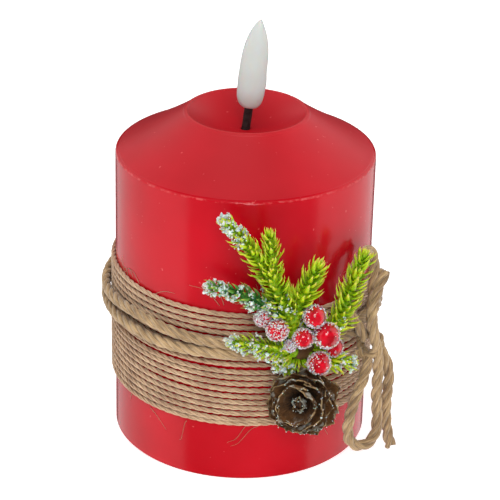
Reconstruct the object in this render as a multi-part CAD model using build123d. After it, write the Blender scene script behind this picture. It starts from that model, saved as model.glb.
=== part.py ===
from build123d import *
import math
import os

# Flameless wax pillar candle with a jute-wrapped floral pick. Millimetres, +Z up, the candle's
# axis on Z, the resting plane at z = 0, and the decorated front facing -Y.
# An azimuth of 0 degrees is the front (-Y), and it grows towards +X.

os.makedirs("parts", exist_ok=True)

# Wax pillar
WAX_R = 37.5
WAX_BORE_R = 32.0
WAX_EDGE_Z = 87.4
CAVITY_TOP_Z = 84.0
RIM_R = 17.3
RIM_Z = 100.1
BOWL_Z = 94.4
WICK_HOLE_R = 1.5

# Leaning flame, its lamp and its wick stem: they share one tilted axis
FLAME_LEAN = 6.5
FLAME_FOOT = (0.6, 0, 101.3)
FLAME_BORE_R = 1.6
FLAME_BORE_H = 6.0
LAMP_R = 1.5
LAMP_H = 5.3
STEM_R = 1.225
STEM_BORE_R = 0.75
STEM_LEN = 23.0
LED_WIRE_R = 0.3
LED_WIRE_OFFSET = 0.38
LED_WIRE_BEND = 20.0

# Battery housing: base plate, cup and the mast that carries the wick stem
HOUSING_R = 31.8
HOUSING_WALL = 1.5
PLATE_Z = 2.0
PLATE_T = 2.0
PLATE_TOP_Z = PLATE_Z + PLATE_T
CUP_TOP_Z = 26.0
CUP_ROOF_T = 1.6
MAST_X = -1.8
MAST_R = 4.2
MAST_BORE_R = 2.6
MAST_FOOT_R = 8.0
MAST_FOOT_T = 1.5
SCREW_X = 20.5
SCREW_Y = 18.0
BOSS_R = 2.6
SCREW_SHANK_R = 0.95
SCREW_HEAD_R = 2.1
SCREW_HEAD_H = 0.9
SCREW_TOP_Z = 11.0

# Two AAA cells lying side by side
CELL_R = 5.25
CELL_LEN = 44.5
CELL_NUB_R = 1.9
CELL_NUB_H = 0.8
CELL_Y = 5.6
CELL_Z = 9.05
BAY_X = 24.6
BAY_Y = 11.5
BAY_WALL = 1.2
BAY_ROOF_Z = 14.7
CONTACT_T = 0.4

# Battery door, hinged on two pintles at its -X end
DOOR_GAP = 0.3
DOOR_T = 1.6
DOOR_PIN_R = 0.5
DOOR_PIN_CLEARANCE = 0.06
DOOR_PIN_LEN = 0.9
DOOR_AXIS_X = -23.6
DOOR_AXIS_Z = PLATE_Z + DOOR_T / 2

# Three-position slide switch and circuit board
SWITCH_Y = 19.0
SWITCH_TRAVEL = 2.0
SWITCH_BODY = (9.0, 4.0, 3.5)
SLIDER_W = 2.6
SLIDER_D = 1.8
SLIDER_FOOT_Z = 0.9
BOARD = (32.0, 9.8, 1.0)
BOARD_Z = 8.4

# Jute: fine thread band, two turns of rope, and the bow
THREAD_D = 1.24
THREAD_LOW_Z = 18.95
THREAD_HIGH_Z = 54.35
THREAD_TURNS = 19
THREAD_TILT = 1.2
ROPE_D = 3.0
ROPE_LOW_Z = 42.55
ROPE_HIGH_Z = 47.4
ROPE_HIGH_RISE = 1.8
ROPE_HIGH_AZ = -125.0
BOW_D = 2.6
KNOT_AZ = 54.6
KNOT_R = 45.2
KNOT_Z = 39.4

# Floral pick
PAD_AZ = 24.5
PAD_Z = 44.0
PAD_R = 7.5
PAD_T = 4.6
TWIG_R = 0.75
TWIG_JOINT_R = 0.79
BERRY_WIRE_R = 0.4

THREAD_R = WAX_R + 0.05 + THREAD_D / 2
ROPE_R = THREAD_R + THREAD_D / 2 + 0.06 + ROPE_D / 2


def polar(azimuth, radius, z):
    a = math.radians(azimuth)
    return Vector(radius * math.sin(a), -radius * math.cos(a), z)


def save(name, *solids):
    shape = solids[0] if len(solids) == 1 else Compound(children=list(solids))
    export_step(shape, f"parts/{name}.step")


def box(x0, x1, y0, y1, z0, z1):
    middle = ((x0 + x1) / 2, (y0 + y1) / 2, (z0 + z1) / 2)
    return Pos(*middle) * Box(x1 - x0, y1 - y0, z1 - z0)


def rod(x, y, z0, z1, radius):
    return Pos(x, y, (z0 + z1) / 2) * Cylinder(radius, z1 - z0)


def lathe(outline):
    """Turn a closed wire, drawn in the XZ plane, about the Z axis."""
    return revolve(make_face(outline), Axis.Z)


def polyline_lathe(points):
    return lathe(Plane.XZ * Polyline(*points, close=True))


def pole(start, end, radius):
    """A straight round rod between two points."""
    start, end = Vector(start), Vector(end)
    at = Plane(origin=start, z_dir=end - start)
    return extrude(at * Circle(radius), (end - start).length)


def corner_radii(points):
    """The largest arc that each corner's two runs allow."""
    points = [Vector(p) for p in points]
    radii = []
    for before, here, after in zip(points, points[1:], points[2:]):
        into, out = here - before, after - here
        half_turn = math.radians(into.get_angle(out)) / 2
        radii.append(0.45 * min(into.length, out.length) / math.tan(half_turn))
    return radii


def tube(points, diameter, name, largest=math.inf):
    """A round tube along straight runs joined by tangent arcs, none over the largest radius."""
    radii = [min(radius, largest) for radius in corner_radii(points)]
    path = FilletPolyline(*points, radius=radii)
    at = Plane(origin=path @ 0, z_dir=path % 0)
    solid = sweep(at * Circle(diameter / 2), path=path)
    expected = math.pi * diameter**2 / 4 * path.length
    print(name, "length", round(path.length, 1), "volume share", round(solid.volume / expected, 4))
    print(name, "radii", [round(r, 1) for r in radii])
    return solid


# ---------------------------------------------------------------- wax, flame and wick
TILT = Location(FLAME_FOOT, (0, FLAME_LEAN, 0))


def tilted_rod(low, high, radius, offset=0.0):
    """A rod on the flame's own axis, from low to high along it."""
    return TILT * Pos(offset, 0, (low + high) / 2) * Cylinder(radius, high - low)


def wax_body():
    """Cast pillar: rounded foot, straight side, hollow cone of a shoulder, thin rim, bowl."""
    foot = 0.6
    outline = Polyline((WAX_BORE_R, 0), (WAX_R - foot, 0), (WAX_R, foot), (WAX_R, WAX_EDGE_Z))
    outline += ThreePointArc((WAX_R, WAX_EDGE_Z), (37.37, 87.85), (36.95, 88.15))
    outline += ThreePointArc((36.95, 88.15), (27.2, 93.6), (18.3, 99.4))
    outline += ThreePointArc((18.3, 99.4), (17.85, 99.88), (RIM_R, RIM_Z))
    outline += ThreePointArc((RIM_R, RIM_Z), (16.96, 99.97), (16.7, 99.65))
    outline += ThreePointArc((16.7, 99.65), (9.5, 95.9), (0, BOWL_Z))
    outline += Polyline((0, BOWL_Z), (0, CAVITY_TOP_Z), (WAX_BORE_R, CAVITY_TOP_Z), (WAX_BORE_R, 0))
    return lathe(Plane.XZ * outline) - tilted_rod(-STEM_LEN, 0, WICK_HOLE_R)


# Flame sections: height along the axis, left edge, right edge, half depth
FLAME_SECTIONS = [
    (0.0, -2.3, 2.3, 2.1),
    (0.6, -2.95, 2.9, 2.7),
    (1.6, -3.55, 3.4, 3.0),
    (3.5, -4.0, 3.75, 3.3),
    (6.1, -4.15, 3.9, 3.4),
    (9.9, -4.25, 3.7, 3.3),
    (14.7, -4.15, 3.45, 3.0),
    (19.5, -3.5, 2.75, 2.5),
    (22.7, -2.5, 1.75, 1.8),
    (24.9, -1.35, 0.75, 0.9),
    (26.1, -0.5, 0.15, 0.3),
]


def flame_tip():
    sections = [
        Pos((left + right) / 2, 0, height) * Ellipse((right - left) / 2, depth)
        for height, left, right, depth in FLAME_SECTIONS
    ]
    return TILT * loft(sections) - tilted_rod(-1, FLAME_BORE_H, FLAME_BORE_R)


def led_lamp():
    shoulder = LAMP_H - LAMP_R
    bend = LAMP_R * math.sqrt(0.5)
    outline = Polyline((0, LAMP_H), (0, 0), (LAMP_R, 0), (LAMP_R, shoulder))
    outline += ThreePointArc((LAMP_R, shoulder), (bend, shoulder + bend), (0, LAMP_H))
    return TILT * lathe(Plane.XZ * outline)


def wick_stem():
    return tilted_rod(-STEM_LEN, 0, STEM_R) - tilted_rod(-STEM_LEN - 1, 1, STEM_BORE_R)


def led_wires():
    """Two leads from the board, over the cell bay and up the mast, to the lamp."""
    lean = math.radians(FLAME_LEAN)
    step = Vector(math.cos(lean), 0, -math.sin(lean)) * LED_WIRE_OFFSET
    top = Vector(FLAME_FOOT)
    bend = top - Vector(math.sin(lean), 0, math.cos(lean)) * (STEM_LEN + 1.5)
    route = [
        Vector(bend.X, SWITCH_Y - 1, BOARD_Z + BOARD[2] + 0.05),
        Vector(bend.X, SWITCH_Y - 1, 14.2),
        Vector(bend.X, SWITCH_Y - 5, 18.2),
        Vector(bend.X, 5, 19.4),
        Vector(bend.X, 0, 25.5),
        bend,
        top,
    ]
    return [
        tube([p + step * side for p in route], 2 * LED_WIRE_R, f"led_wire_{side}", LED_WIRE_BEND)
        for side in (-1, 1)
    ]


# ---------------------------------------------------------------- battery housing
SCREW_PLACES = [(x, y) for x in (-SCREW_X, SCREW_X) for y in (-SCREW_Y, SCREW_Y)]


def flame_mast():
    foot_z = CUP_TOP_Z
    top_z = CAVITY_TOP_Z - 0.1
    stem_foot_z = 78.0
    body = rod(MAST_X, 0, foot_z, top_z, MAST_R) + rod(MAST_X, 0, foot_z, foot_z + MAST_FOOT_T, MAST_FOOT_R)
    body -= rod(MAST_X, 0, foot_z - 1, stem_foot_z, MAST_BORE_R)
    return body - tilted_rod(-STEM_LEN - 1.5, -STEM_LEN + 8, STEM_R + 0.07)


def housing_cup():
    roof_z = CUP_TOP_Z - CUP_ROOF_T
    body = rod(0, 0, PLATE_TOP_Z, CUP_TOP_Z, HOUSING_R)
    body -= rod(0, 0, PLATE_TOP_Z - 1, roof_z, HOUSING_R - HOUSING_WALL)
    for x, y in SCREW_PLACES:
        body += rod(x, y, PLATE_TOP_Z, roof_z + 0.5, BOSS_R)
        body -= rod(x, y, PLATE_TOP_Z - 1, SCREW_TOP_Z + 1, SCREW_SHANK_R + 0.05)
    return body - rod(MAST_X, 0, roof_z - 1, CUP_TOP_Z + 1, MAST_BORE_R)


def base_plate():
    """Underside plate with the cell bay, the door's pintle sockets and the switch slot."""
    bay_x, bay_y = BAY_X + BAY_WALL, BAY_Y + BAY_WALL
    body = rod(0, 0, PLATE_Z, PLATE_TOP_Z, HOUSING_R)
    body += box(-bay_x, bay_x, -bay_y, bay_y, PLATE_TOP_Z - 0.5, BAY_ROOF_Z + BAY_WALL)
    for x in (-13, 13):
        body += rod(x, SWITCH_Y, PLATE_TOP_Z - 0.5, BOARD_Z, 1.8)
    body -= box(-BAY_X, BAY_X, -BAY_Y, BAY_Y, PLATE_Z - 1, BAY_ROOF_Z)
    # Slots for the two contact tails, beside the +X wall
    for side in (-1, 1):
        middle = side * CELL_Y
        body -= box(BAY_X - CONTACT_T - 0.1, BAY_X, middle - 0.8, middle + 0.8, BAY_ROOF_Z - 1, 18)
    # Pintle sockets
    socket = Cylinder(DOOR_PIN_R + DOOR_PIN_CLEARANCE, 2 * (BAY_Y + 0.6), rotation=(90, 0, 0))
    body -= Pos(DOOR_AXIS_X, 0, DOOR_AXIS_Z) * socket
    # Finger scoop at the door's free end
    body -= Pos(BAY_X, 0, PLATE_Z - 1.5) * Cylinder(4.0, 5.0) & box(BAY_X, 30, -4, 4, 0, PLATE_Z + 1.2)
    body -= box(-3.4, 3.4, SWITCH_Y - 1.2, SWITCH_Y + 1.2, PLATE_Z - 1, PLATE_TOP_Z + 1)
    for x, y in SCREW_PLACES:
        body -= rod(x, y, PLATE_Z - 1, PLATE_TOP_Z + 1, SCREW_SHANK_R + 0.15)
        body -= rod(x, y, PLATE_Z - 1, PLATE_Z + SCREW_HEAD_H + 0.2, SCREW_HEAD_R + 0.15)
    return body


def battery_door():
    half_y = BAY_Y - DOOR_GAP
    free_x = BAY_X - DOOR_GAP
    body = box(DOOR_AXIS_X, free_x, -half_y, half_y, PLATE_Z, PLATE_Z + DOOR_T)
    at_hinge = Pos(DOOR_AXIS_X, 0, DOOR_AXIS_Z)
    body += at_hinge * Cylinder(DOOR_T / 2, 2 * half_y, rotation=(90, 0, 0))
    pin_span = 2 * (half_y + DOOR_PIN_LEN - DOOR_GAP)
    body += at_hinge * Cylinder(DOOR_PIN_R, pin_span, rotation=(90, 0, 0))
    body += box(free_x - 0.8, free_x, -4, 4, PLATE_Z + DOOR_T - 0.3, PLATE_Z + 3.0)
    # Grip grooves near the free end
    for step in range(4):
        x = free_x - 3.0 - 1.6 * step
        body -= box(x - 0.35, x + 0.35, -5, 5, PLATE_Z - 1, PLATE_Z + 0.5)
    return body


def battery(side):
    """One AAA cell; side +1 points its positive end to +X."""
    nub_tip = BAY_X - CONTACT_T
    can_end = nub_tip - CELL_NUB_H
    bottom = nub_tip - CELL_LEN
    outline = [
        (0, bottom),
        (CELL_R - 0.5, bottom),
        (CELL_R, bottom + 0.5),
        (CELL_R, can_end - 0.5),
        (CELL_R - 0.5, can_end),
        (CELL_NUB_R, can_end),
        (CELL_NUB_R, nub_tip),
        (0, nub_tip),
    ]
    return Pos(0, side * CELL_Y, CELL_Z) * Rot(0, 90 * side, 0) * polyline_lathe(outline)


def contact_spring(side):
    """Conical coil spring against a cell's negative end, drawn as touching coils."""
    wire_r, coils, gap = 0.42, 5, 0.76
    profile = Sketch()
    for turn in range(coils):
        profile += Pos(3.2 - 0.2 * turn, wire_r - 0.05 + gap * turn) * Circle(wire_r)
    reach = CELL_LEN - 2 * (BAY_X - CONTACT_T)
    coil = revolve(Plane.XZ * profile, Axis.Z)
    plate_x = BAY_X - CONTACT_T
    print("spring reach", round(-reach, 2), "coil height", round(coil.bounding_box().size.Z, 2))
    return Pos(side * plate_x, side * -CELL_Y, CELL_Z) * Rot(0, -90 * side, 0) * coil


def contact_plate(side_x, low_y, high_y):
    inner, outer = sorted((side_x * (BAY_X - CONTACT_T), side_x * BAY_X))
    return box(inner, outer, low_y, high_y, 5.4, 12.8)


def contact_tail(y):
    return box(BAY_X - CONTACT_T, BAY_X, y - 0.6, y + 0.6, 12.3, 17.2)


def contacts():
    link = contact_plate(-1, -8.8, 8.8) + contact_spring(-1)
    negative = contact_plate(1, -8.8, -2.4) + contact_spring(1) + contact_tail(-CELL_Y)
    positive = contact_plate(1, 2.4, 8.8) + contact_tail(CELL_Y)
    return link, negative, positive


def battery_leads():
    tail_x = BAY_X - CONTACT_T
    board_top = BOARD_Z + BOARD[2]
    red = [(tail_x, CELL_Y, 16.7), (21, CELL_Y, 16.7), (16, 9, 17.4), (12, 15, 17), (12, 18, 14)]
    red.append((12, 18, board_top))
    black = [(tail_x, -CELL_Y, 16.7), (20, -CELL_Y, 16.7), (12, -1, 17.5), (8, 8, 17.8), (6.5, 15.5, 16.8)]
    black += [(6.5, 18, 14), (6.5, 18, board_top)]
    return tube(red, 0.9, "red_lead"), tube(black, 0.9, "black_lead")


def circuit_board():
    half = BOARD[0] / 2
    return box(-half, half, SWITCH_Y - 4.8, SWITCH_Y + 5.0, BOARD_Z, BOARD_Z + BOARD[2])


def board_parts():
    """Timer chip, resistor and capacitor, each on the board's top face."""
    top = BOARD_Z + BOARD[2]
    chip = box(-9.5, -4.6, SWITCH_Y - 1.5, SWITCH_Y + 2.5, top, top + 1.5)
    resistor = box(1.0, 3.0, SWITCH_Y + 1.0, SWITCH_Y + 2.25, top, top + 0.5)
    capacitor = rod(-13, SWITCH_Y, top, top + 5, 2.0)
    return chip, resistor, capacitor


def switch_body():
    length, depth, height = SWITCH_BODY
    low = BOARD_Z - height
    shell = box(-length / 2, length / 2, SWITCH_Y - depth / 2, SWITCH_Y + depth / 2, low, BOARD_Z)
    return shell - box(-3.9, 3.9, SWITCH_Y - 1.1, SWITCH_Y + 1.1, low - 1, low + 1.6)


def switch_slider():
    low = BOARD_Z - SWITCH_BODY[2]
    half_w, half_d = SLIDER_W / 2, SLIDER_D / 2
    body = box(-half_w, half_w, SWITCH_Y - half_d, SWITCH_Y + half_d, SLIDER_FOOT_Z, low + 0.2)
    body += box(-1.7, 1.7, SWITCH_Y - 0.95, SWITCH_Y + 0.95, low + 0.1, low + 1.3)
    for x in (-0.65, 0.0, 0.65):
        body -= box(x - 0.13, x + 0.13, SWITCH_Y - 2, SWITCH_Y + 2, 0, SLIDER_FOOT_Z + 0.3)
    return body


def housing_screws():
    screws = []
    for x, y in SCREW_PLACES:
        head_z = PLATE_Z + 0.2
        screw = rod(x, y, head_z, head_z + SCREW_HEAD_H, SCREW_HEAD_R)
        screw += rod(x, y, head_z + SCREW_HEAD_H - 0.1, SCREW_TOP_Z, SCREW_SHANK_R)
        screw -= box(x - 1.2, x + 1.2, y - 0.25, y + 0.25, head_z - 1, head_z + 0.5)
        screw -= box(x - 0.25, x + 0.25, y - 1.2, y + 1.2, head_z - 1, head_z + 0.5)
        screws.append(screw)
    return screws


# ---------------------------------------------------------------- jute wraps and bow
def ring(z, radius, section, tilt=0.0, high_azimuth=-90.0):
    """One turn of cord round the pillar, highest at high_azimuth when it is tilted."""
    # Turning about the horizontal axis a quarter turn behind raises the ring at high_azimuth
    turn = Rot(0, 0, high_azimuth) * Rot(-tilt, 0, 0)
    return Pos(0, 0, z) * turn * Torus(radius, section / 2)


def jute_thread_band():
    pitch = (THREAD_HIGH_Z - THREAD_LOW_Z) / (THREAD_TURNS - 1)
    return [
        ring(THREAD_LOW_Z + pitch * turn, THREAD_R, THREAD_D, THREAD_TILT)
        for turn in range(THREAD_TURNS)
    ]


def rope_turns():
    tilt = math.degrees(math.atan(ROPE_HIGH_RISE / ROPE_R))
    lower = ring(ROPE_LOW_Z, ROPE_R, ROPE_D)
    upper = ring(ROPE_HIGH_Z, ROPE_R, ROPE_D, tilt, ROPE_HIGH_AZ)
    return lower, upper


def bow_knot():
    """Barrel of wound rope, lying along the pillar's tangent."""
    half, radius, flat = 4.0, 3.3, 1.6
    outline = Polyline((0, -half), (flat, -half))
    outline += ThreePointArc((flat, -half), (radius, 0), (flat, half))
    outline += Polyline((flat, half), (0, half), (0, -half))
    barrel = lathe(Plane.XZ * outline)
    at = polar(KNOT_AZ, KNOT_R, KNOT_Z)
    return Pos(at.X, at.Y, at.Z) * Rot(0, 0, KNOT_AZ) * Rot(0, 90, 0) * barrel


# Each half of the bow: out of the knot, round its loop, back past the knot, to its cut end
UPPER_ROUTE = [
    (35.3, -26.7, 41.5),
    (33.9, -27.4, 45.0),
    (30.4, -29.3, 50.6),
    (28.2, -31.0, 56.0),
    (29.4, -29.8, 60.4),
    (31.4, -27.4, 64.0),
    (33.6, -23.8, 66.6),
    (35.6, -20.6, 66.9),
    (37.2, -19.2, 63.8),
    (37.4, -20.3, 59.4),
    (37.2, -22.4, 54.0),
    (36.9, -24.9, 47.4),
    (37.9, -25.8, 42.2),
    (39.6, -25.1, 37.8),
    (41.9, -25.3, 34.4),
    (43.0, -26.1, 29.6),
    (42.5, -26.7, 23.6),
    (42.4, -26.9, 17.2),
    (43.2, -27.3, 11.2),
    (44.3, -27.1, 6.6),
]
LOWER_ROUTE = [
    (36.6, -28.6, 37.2),
    (36.0, -31.0, 33.6),
    (34.2, -33.1, 29.2),
    (32.4, -34.1, 23.6),
    (31.2, -34.8, 17.8),
    (31.4, -34.9, 12.9),
    (33.8, -34.4, 10.2),
    (37.2, -33.3, 10.2),
    (39.6, -32.0, 13.0),
    (39.9, -30.8, 18.4),
    (39.2, -29.9, 25.0),
    (39.5, -29.3, 31.2),
    (39.3, -28.7, 37.0),
    (38.1, -28.7, 42.6),
    (36.8, -28.6, 47.6),
    (37.1, -28.2, 53.2),
    (38.3, -27.0, 58.2),
    (40.2, -25.1, 62.3),
]


# ---------------------------------------------------------------- floral pick
PAD_CENTRE = polar(PAD_AZ, 39.2, PAD_Z)


def glue_pad():
    """Flattened blob of hot glue against the two turns of rope: a cap of a sphere."""
    cap_r = (PAD_R**2 + PAD_T**2) / (2 * PAD_T)
    half = math.asin(PAD_R / cap_r) / 2
    outline = Polyline((0, PAD_T), (0, 0), (PAD_R, 0))
    halfway = (cap_r * math.sin(half), PAD_T - cap_r * (1 - math.cos(half)))
    outline += ThreePointArc((PAD_R, 0), halfway, (0, PAD_T))
    blob = lathe(Plane.XZ * outline)
    return Pos(PAD_CENTRE.X, PAD_CENTRE.Y, PAD_CENTRE.Z) * Rot(0, 0, PAD_AZ) * Rot(90, 0, 0) * blob


def fir_tip(start, end, widest, whorls):
    """A tapering stack of forward-pointing needle whorls about a straight twig."""
    start, end = Vector(start), Vector(end)
    length = (end - start).length
    points = [(0, 0), (TWIG_R, 0)]
    for whorl in range(whorls):
        low = length * whorl / whorls
        share = (whorl + 1) / (whorls + 1)
        reach = TWIG_R * 1.25 + (widest - TWIG_R) * math.sin(math.pi * min(share * 0.75 + 0.22, 0.97))
        tip = low + length / whorls * 0.92
        points += [(reach, tip), (TWIG_R, tip - 0.12 * length / whorls)]
    points += [(TWIG_R, length), (0, length)]
    return Plane(origin=start, z_dir=end - start) * polyline_lathe(points)


def sprig(root, nodes, widths, whorls):
    """A moulded twig from the glue to the first node, then needles along each stretch."""
    body = pole(root, nodes[0], TWIG_R)
    for start, end, width, count in zip(nodes, nodes[1:], widths, whorls):
        body += fir_tip(start, end, width, count)
    for node in nodes[:-1]:
        body += Pos(*node) * Sphere(TWIG_JOINT_R)
    return body


# Each sprig: its root in the glue or on another sprig, then nodes, and for each stretch between
# them the widest radius and the count of whorls
SPRIGS = {
    "fir_sprig_main": (
        (16.0, -39.8, 46.6),
        [(12.8, -41.2, 55.9), (6.0, -44.2, 73.0), (-4.4, -44.6, 84.6)],
        [2.6, 2.6],
        [6, 7],
    ),
    "fir_sprig_side": ((8.54, -43.08, 66.6), [(7.9, -44.4, 71.5), (7.2, -45.4, 81.5)], [1.9], [4]),
    "fir_sprig_left": ((15.1, -40.2, 51.0), [(9.6, -41.4, 60.4), (-8.0, -43.2, 65.0)], [2.4], [7]),
    "fir_sprig_lower_left": ((15.2, -40.3, 43.8), [(11.5, -42.4, 45.8), (-2.0, -45.2, 48.9)], [1.8], [5]),
    "fir_sprig_upper_right": ((14.4, -40.5, 54.0), [(16.0, -41.2, 61.0), (20.2, -40.8, 69.6)], [2.2], [4]),
    "fir_sprig_right": (
        (20.6, -37.3, 45.4),
        [(27.4, -35.8, 50.0), (29.6, -34.9, 59.6), (32.7, -32.6, 68.6)],
        [1.5, 1.5],
        [4, 4],
    ),
    "fir_sprig_lower_right": ((19.0, -38.9, 42.2), [(26.4, -36.8, 39.4), (30.6, -35.6, 38.6)], [1.6], [2]),
}

# Berry: centre, radius, and the place in the glue that its wire comes from
BERRIES = [
    ((20.1, -42.5, 56.4), 3.1, (18.3, -38.6, 46.6)),
    ((23.7, -41.8, 50.2), 3.5, (19.6, -38.2, 45.6)),
    ((25.8, -37.3, 44.2), 2.8, (19.4, -38.0, 44.2)),
    ((21.9, -42.9, 41.9), 3.0, (18.6, -38.6, 43.2)),
    ((17.1, -44.1, 50.3), 2.75, (16.9, -39.4, 46.0)),
    ((9.9, -44.9, 53.0), 3.0, (13.4, -40.6, 46.4)),
    ((5.9, -42.5, 55.4), 2.2, (12.5, -40.8, 47.0)),
    ((13.7, -43.5, 47.5), 1.5, (15.0, -40.4, 45.3)),
]


def berry(centre, radius, root):
    centre, root = Vector(centre), Vector(root)
    return Pos(*centre) * Sphere(radius) + pole(root, centre, BERRY_WIRE_R)


CONE_BASE = Vector(18.4, -38.9, 28.4)
CONE_TIP = Vector(15.7, -51.2, 32.4)


def pine_cone():
    """Stacked cups of scales about a short core, the open end facing out and up."""
    core = 3.4
    tooth_radii = [7.0, 9.6, 9.8, 8.2, 5.8]
    length = (CONE_TIP - CONE_BASE).length
    step = length / (len(tooth_radii) + 0.4)
    points = [(0, 0), (core * 0.7, 0)]
    for layer, reach in enumerate(tooth_radii):
        low = step * layer
        points += [(core, low + 0.3 * step), (reach, low + 1.25 * step), (reach - 0.7, low + 1.4 * step)]
        points += [(core, low + 0.8 * step)]
    points += [(core, length - 0.4), (0, length - 0.4)]
    return Plane(origin=CONE_BASE, z_dir=CONE_TIP - CONE_BASE) * polyline_lathe(points)


save("wax_body", wax_body())
save("flame_tip", flame_tip())
save("led_lamp", led_lamp())
save("wick_stem", wick_stem())
save("led_wires", *led_wires())
save("flame_mast", flame_mast())
save("housing_cup", housing_cup())
save("base_plate", base_plate())
save("battery_door", battery_door())
save("battery_1", battery(1))
save("battery_2", battery(-1))
link, negative, positive = contacts()
save("contact_link", link)
save("contact_negative", negative)
save("contact_positive", positive)
save("battery_leads", *battery_leads())
save("circuit_board", circuit_board())
save("board_parts", *board_parts())
save("switch_body", switch_body())
save("switch_slider", switch_slider())
save("housing_screws", *housing_screws())
save("jute_thread_band", *jute_thread_band())
lower_turn, upper_turn = rope_turns()
save("rope_turn_lower", lower_turn)
save("rope_turn_upper", upper_turn)
save("bow_knot", bow_knot())
save("bow_cord_upper", tube(UPPER_ROUTE, BOW_D, "bow_cord_upper"))
save("bow_cord_lower", tube(LOWER_ROUTE, BOW_D, "bow_cord_lower"))
save("glue_pad", glue_pad())
for sprig_name, (root, nodes, widths, whorls) in SPRIGS.items():
    save(sprig_name, sprig(root, nodes, widths, whorls))
for number, (centre, radius, root) in enumerate(BERRIES, start=1):
    save(f"berry_{number}", berry(centre, radius, root))
save("pine_cone", pine_cone())
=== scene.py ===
# %% [markdown]
# A wax pillar candle with a plastic flame, wrapped in jute and dressed with a frosted pick.
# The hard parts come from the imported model, which sets every size and place. This lesson adds
# what a drawing of the parts can't hold: wax that takes the light, spun jute, needles and frost.

# %% Load the model and keep its box
import bpy
import math
import numpy as np
from mathutils import Euler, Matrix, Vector


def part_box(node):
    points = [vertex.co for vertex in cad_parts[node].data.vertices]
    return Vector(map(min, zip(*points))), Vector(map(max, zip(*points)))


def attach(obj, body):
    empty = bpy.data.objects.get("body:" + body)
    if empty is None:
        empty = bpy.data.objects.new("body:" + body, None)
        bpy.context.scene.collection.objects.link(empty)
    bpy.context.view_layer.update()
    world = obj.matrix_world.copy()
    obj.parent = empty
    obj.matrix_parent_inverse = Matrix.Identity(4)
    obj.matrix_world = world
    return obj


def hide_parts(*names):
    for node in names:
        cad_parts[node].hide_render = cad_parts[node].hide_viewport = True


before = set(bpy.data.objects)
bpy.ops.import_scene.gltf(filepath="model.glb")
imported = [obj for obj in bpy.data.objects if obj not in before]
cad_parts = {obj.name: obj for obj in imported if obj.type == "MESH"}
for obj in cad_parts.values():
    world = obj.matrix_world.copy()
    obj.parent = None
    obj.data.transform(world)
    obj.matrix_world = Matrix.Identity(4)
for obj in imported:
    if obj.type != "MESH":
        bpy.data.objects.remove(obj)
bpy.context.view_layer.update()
BODY = "candle"
MM = 0.001

# %% [markdown]
# A long lens from well back keeps the pillar's sides nearly parallel. The camera looks down at
# the candle by about 26 degrees, and it is tipped by nearly a degree and a half, the way a
# hand-levelled tripod is. A small shift sets the framing and bends nothing.

# %% Camera
CAMERA_LIFT = math.radians(26.18)
CAMERA_TIP = math.radians(1.41)
CAMERA_AWAY = 0.635
AIM = Vector((0, 0, 0.05))

lens = bpy.data.cameras.new("camera")
lens.lens = 154.8
lens.sensor_width = 36
lens.shift_x = 0.0141
lens.shift_y = 0.0349
camera = bpy.data.objects.new("camera", lens)
bpy.context.scene.collection.objects.link(camera)
bpy.context.scene.camera = camera
camera.location = AIM + CAMERA_AWAY * Vector((0, -math.cos(CAMERA_LIFT), math.sin(CAMERA_LIFT)))
facing = Euler((math.pi / 2 - CAMERA_LIFT, 0, 0)).to_matrix()
camera.rotation_euler = (facing @ Euler((0, 0, CAMERA_TIP)).to_matrix()).to_euler()
bpy.context.scene.view_settings.view_transform = "Standard"
print("camera stands at", [round(v, 3) for v in camera.location])

# %% [markdown]
# Materials are written as sums. A Signal is one socket of a material, and arithmetic on it adds
# Math nodes, so a mask reads like the formula it is. A Finish holds one material: it adds any
# node, mixes colours and feeds the shader at the end.

# %% A small language for materials
class Signal:
    """One socket's value inside a finish."""

    def __init__(self, finish, socket):
        self.finish = finish
        self.socket = socket

    def math(self, operation, *values):
        return self.finish.add("ShaderNodeMath", {"operation": operation}, dict(enumerate(values)))

    def __add__(self, other):
        return self.math("ADD", self, other)

    def __radd__(self, other):
        return self.math("ADD", other, self)

    def __sub__(self, other):
        return self.math("SUBTRACT", self, other)

    def __rsub__(self, other):
        return self.math("SUBTRACT", other, self)

    def __mul__(self, other):
        return self.math("MULTIPLY", self, other)

    def __rmul__(self, other):
        return self.math("MULTIPLY", other, self)

    def step(self, low, high):
        """0 below low, 1 above high and a soft rise between."""
        sockets = {"Value": self, "From Min": low, "From Max": high}
        return self.finish.add("ShaderNodeMapRange", {"interpolation_type": "SMOOTHSTEP"}, sockets)


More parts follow.
